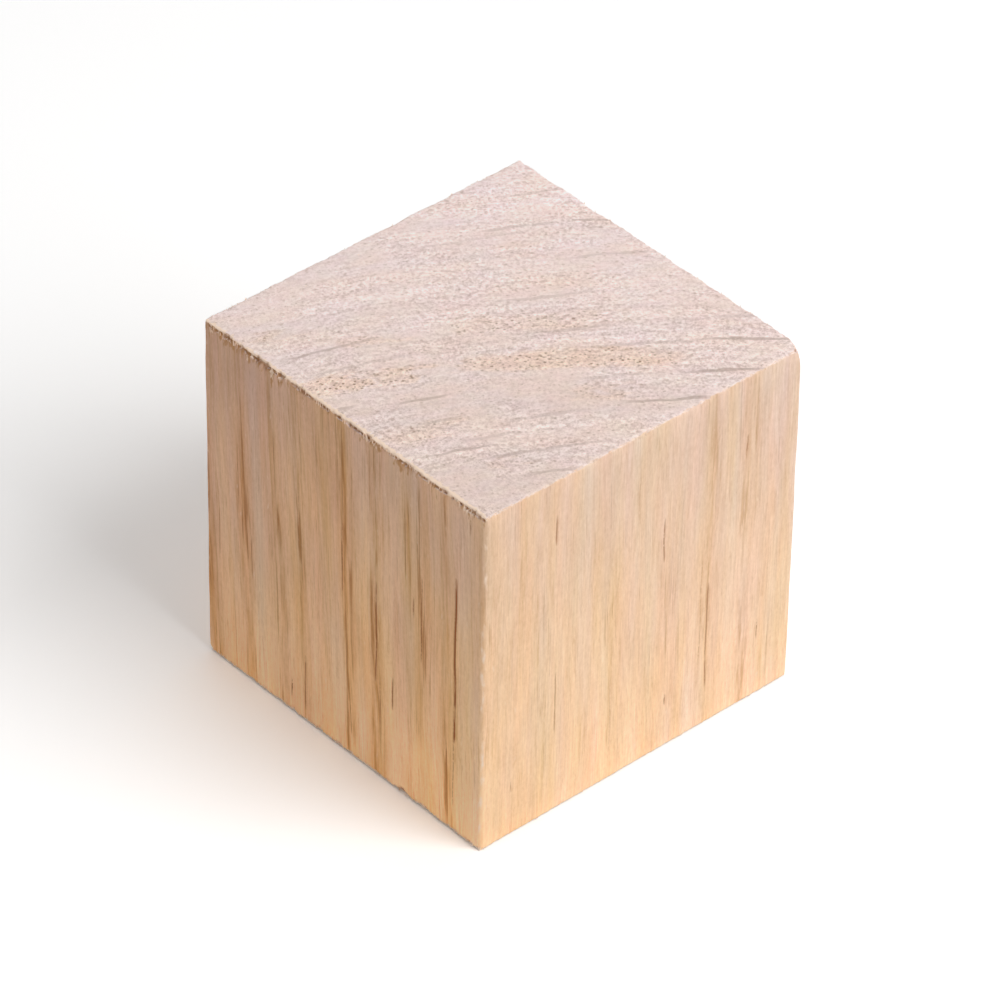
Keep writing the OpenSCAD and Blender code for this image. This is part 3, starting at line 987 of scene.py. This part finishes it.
def raw_pine():
    """Unfinished pine, solid all through: growth rings, fibres, end grain, resin, torn edges."""
    s = Shader(bpy.data.materials.new("raw_pine"))
    coordinates = s.add("TexCoord", {}, "Object")
    normal = coordinates.node.outputs["Normal"]
    place = s.vector("MULTIPLY", coordinates, (1 / MM, 1 / MM, 1 / MM))
    height = s.add("SeparateXYZ", {0: place}, 2)
    fibre = fibre_place(s, place, height)
    radius, arc, late, left = ring_nodes(s, place, height, fibre)
    long_colour, long_bump = long_grain(s, place, height, fibre, late, left)
    end_colour, end_bump = end_grain(s, place, radius, arc, late, left)

    upward = s.math("ABSOLUTE", s.add("SeparateXYZ", {0: normal}, 2))
    patchy = s.noise(place, (1.6, 1.6, 0.5), detail=2.0, shift=41.0)
    ended = s.ramp(s.weighted(upward, (patchy, 0.5)), 0.45, 0.8)
    to_end = s.math("ABSOLUTE", s.math("SUBTRACT", height, SIZE_Z / 2))
    fuzz = s.ramp(to_end, SIZE_Z / 2 - 3.5, SIZE_Z / 2 - 0.3, 0.0, 0.06)
    long_colour = s.toned(long_colour, fuzz, (1, 1, 1))
    colour = s.mix(ended, long_colour, end_colour)
    bump = s.math("MULTIPLY_ADD", ended, s.math("SUBTRACT", end_bump, long_bump), long_bump)

    torn, canal = s.attribute("torn"), s.attribute("canal")
    colour, bump = edge_fibres(s, colour, bump, place, patchy, torn)
    gaps = s.ramp(s.noise(place, (1.5, 1.5, 0.5), detail=2.0, shift=71.0), -0.25, 0.0, 0.35, 1.0)
    filled = s.times(s.ramp(canal, 0.0, 0.9), gaps)
    filled = s.times(filled, s.weighted(0.7, (left, 0.3)))
    colour = s.mix(filled, colour, RESIN)
    rough = s.weighted(0.8, (late, -0.07), (canal, -0.2), (patchy, 0.15), (torn, 0.1))
    return s.finish(colour, rough, bump, MM)


def loose_fibre():
    """Splinters: the same wood, paler where light comes through the thin fibres."""
    s = Shader(bpy.data.materials.new("loose_fibre"))
    place = s.vector("MULTIPLY", s.add("TexCoord", {}, "Object"), (1 / MM, 1 / MM, 1 / MM))
    tuft = s.noise(place, (1.7, 1.7, 0.5), detail=2.0, shift=57.0)
    thread = s.noise(place, (9.0, 9.0, 0.9), detail=2.0)
    colour = s.mix(s.ramp(tuft, -0.05, 0.2, 0.0, 0.8), PALE_FIBRE, LATE_WOOD)
    colour = s.toned(colour, thread, (0.4, 0.5, 0.6))
    return s.finish(colour, s.weighted(0.8, (thread, 0.3)), thread, 0.05 * MM)


def seen_level(s, levels):
    """The second level where the camera, a reflection or glass looks, the first elsewhere."""
    rays = s.add("LightPath", {}).node.outputs
    seen = s.math("MAXIMUM", rays["Is Camera Ray"], rays["Is Glossy Ray"])
    seen = s.math("MAXIMUM", seen, rays["Is Transmission Ray"])
    return s.add("MapRange", {"Value": seen, "To Min": levels[0], "To Max": levels[1]})


def white_world():
    """An even sky that looks white."""
    s = Shader(bpy.data.worlds.new("studio"), "Background")
    s.surface.inputs["Color"].default_value = (1, 1, 1, 1)
    s.feed(s.surface.inputs["Strength"], seen_level(s, (SKY_LEVEL, 1.0)))
    bpy.context.scene.world = s.owner


def floor_material():
    """Matt white that fades to plain white away from the cube, where it is looked at."""
    s = Shader(bpy.data.materials.new("floor"))
    level = seen_level(s, FLOOR_LEVELS)
    s.feed(s.surface.inputs["Base Color"], s.add("CombineColor", {0: level, 1: level, 2: level}))
    s.surface.inputs["Roughness"].default_value = 1.0
    s.surface.inputs["Specular IOR Level"].default_value = 0.0
    away = s.vector("LENGTH", s.add("TexCoord", {}, "Object"), output="Value")
    faded = s.ramp(away, *FLOOR_FADE, 0.0, seen_level(s, (0.0, 1.0)))
    both = s.add("MixShader", {0: faded, 1: s.surface.outputs[0], 2: s.add("Emission", {})})
    s.feed(s.nodes["Material Output"].inputs["Surface"], both)
    return s.owner


def placed(name, data):
    """A new object in the scene."""
    made = bpy.data.objects.new(name, data)
    bpy.context.scene.collection.objects.link(made)
    return made


def floor():
    """A plain pale floor that looks white and keeps the cube's shadow."""
    mesh = bpy.data.meshes.new("floor")
    angles = [math.tau * i / FLOOR_SIDES for i in range(FLOOR_SIDES)]
    ring = [(FLOOR_RADIUS * math.cos(a), FLOOR_RADIUS * math.sin(a), -FLOOR_DROP) for a in angles]
    mesh.from_pydata(ring, [], [range(FLOOR_SIDES)])
    mesh.materials.append(floor_material())
    placed("floor", mesh)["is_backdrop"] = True


def softbox(name, direction, distance, side, level, colour):
    """A square area light that lights a surface facing it to level."""
    data = bpy.data.lights.new(name, "AREA")
    data.size = side
    data.energy = level * math.pi**2 * distance**2
    data.color = colour
    lamp = placed(name, data)
    away = Vector(direction).normalized()
    lamp.location = CENTRE + away * distance
    lamp.rotation_euler = away.to_track_quat("Z", "Y").to_euler()


def camera():
    """The photo's view, from above one corner of the cube, through a long lens."""
    data = bpy.data.cameras.new("camera")
    data.lens = CAMERA_LENS
    data.sensor_width = SENSOR_WIDTH
    turn, rise = math.radians(CAMERA_AZIMUTH), math.radians(CAMERA_ELEVATION)
    level = math.cos(rise)
    away = Vector((math.sin(turn) * level, -math.cos(turn) * level, math.sin(rise)))
    made = placed("camera", data)
    made.location = CENTRE + away * CAMERA_DISTANCE
    tilt = Quaternion((0, 0, 1), math.radians(CAMERA_ROLL))
    made.rotation_euler = (away.to_track_quat("Z", "Y") @ tilt).to_euler()
    bpy.context.scene.camera = made


def wood_piece(name, mesh, material):
    """A piece of the cube's wood, on the only body there is."""
    mesh.materials.append(material)
    piece = placed(name, mesh)
    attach(piece, "root")
    return piece


def cube():
    """The dressed cube in place of the plain solid, and the splinters on its sawn edges."""
    body = cube_mesh()
    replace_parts(wood_piece("pine_cube", body, raw_pine()), NODE)
    wood_piece("torn_fibres", splinter_mesh(body), loose_fibre())


cube()
floor()
white_world()
for lamp in LAMPS:
    softbox(*lamp)
camera()
bpy.context.scene.view_settings.view_transform = "Standard"

boxes = {"cad": cad_box, "visual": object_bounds()}
{name: [list(corner) for corner in box] for name, box in boxes.items()}
